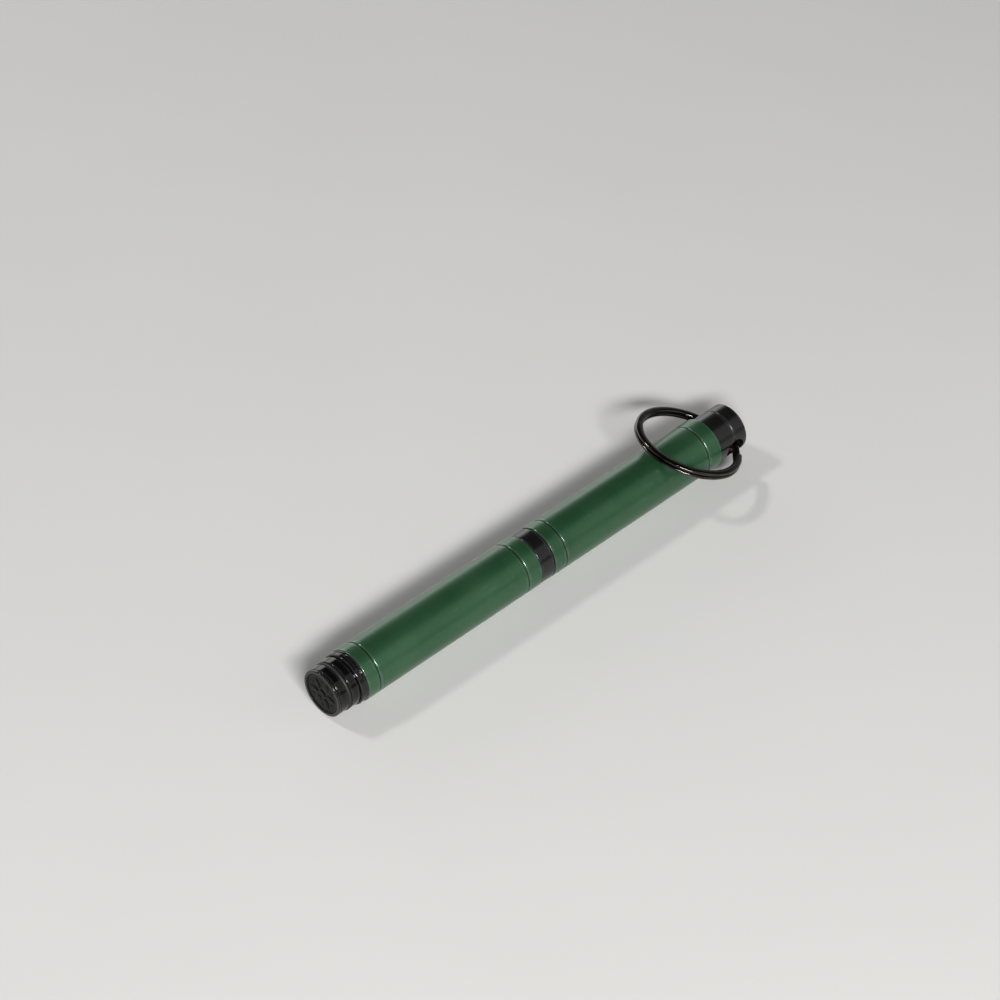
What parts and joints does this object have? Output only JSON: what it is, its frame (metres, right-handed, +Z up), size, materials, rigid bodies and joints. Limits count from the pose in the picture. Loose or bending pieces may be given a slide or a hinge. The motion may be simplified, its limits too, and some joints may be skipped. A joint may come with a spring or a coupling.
{
  "type": "capped pocket ballpoint pen with key ring",
  "caption": "Slim metal pocket pen: a push-on cap over a screwed writing section and refill, with a split ring through the cap's end.",
  "frame": {"origin": "centre of the tail's end face, on the pen's axis", "axes": "+X along the pen from the tail to the cap's end, +Z up, with the key ring folded back on top; +Y completes the right-handed frame"},
  "size_m": [0.095, 0.0196, 0.0115],
  "materials": {
    "gloss_black": "glossy black anodised",
    "relief_black": "moulded black relief",
    "seal_rubber": "soft black rubber",
    "green_anodised": "satin forest-green anodised",
    "bushing_brass": "turned brass",
    "band_black": "semi-gloss black anodised",
    "section_black": "satin black anodised",
    "cap_black": "satin black anodised",
    "ring_steel": "black-nickelled spring steel",
    "refill_steel": "drawn stainless tube",
    "plug_plastic": "moulded black",
    "float_plastic": "natural moulded plastic",
    "ink": "thick black ink",
    "tip_brass": "turned brass",
    "socket_steel": "turned stainless",
    "ball_carbide": "polished carbide"
  },
  "bodies": {
    "barrel": {"barrel_sleeve": "green_anodised", "tail_plug": "gloss_black", "tail_medallion": "relief_black", "tail_seal": "seal_rubber", "barrel_bushing": "bushing_brass"},
    "refill": {"refill_tube": "refill_steel", "refill_end_plug": "plug_plastic", "ink_column": "ink", "tip_holder": "tip_brass", "nib_socket": "socket_steel"},
    "float": {"refill_float": "float_plastic"},
    "ball": {"writing_ball": "ball_carbide"},
    "section": {"grip_section": "section_black", "nose_cone": "section_black", "section_seal": "seal_rubber", "centre_band": "band_black"},
    "cap": {"cap_sleeve": "green_anodised", "cap_end": "cap_black"},
    "ring": {"split_ring": "ring_steel"}
  },
  "joints": [
    {"name": "refill_advance", "type": "slide", "parent": "barrel", "child": "refill", "axis": [1, 0, 0], "range_m": [0, 0.003]},
    {"name": "section_unscrew", "type": "hinge", "parent": "refill", "child": "section", "pos_m": [0.0446, 0, 0], "axis": [1, 0, 0], "range_deg": [0, 1440]},
    {"name": "cap_pull", "type": "slide", "parent": "section", "child": "cap", "axis": [1, 0, 0], "range_m": [0, 0.05]},
    {"name": "ring_swing", "type": "hinge", "parent": "cap", "child": "ring", "pos_m": [0.09227, 0, 0], "axis": [0, 0.9613, 0.2756], "range_deg": [0, 320]},
    {"name": "float_travel", "type": "slide", "parent": "refill", "child": "float", "axis": [1, 0, 0], "range_m": [0, 0.0325], "deforming": ["ink_column"]},
    {"name": "ball_roll", "type": "hinge", "parent": "refill", "child": "ball", "pos_m": [0.08885, 0, 0], "axis": [0, 1, 0], "continuous": true}
  ],
  "couplings": [
    {"joint": "refill_advance", "follows": "section_unscrew", "m_per_rad": 0.00011937}
  ]
}
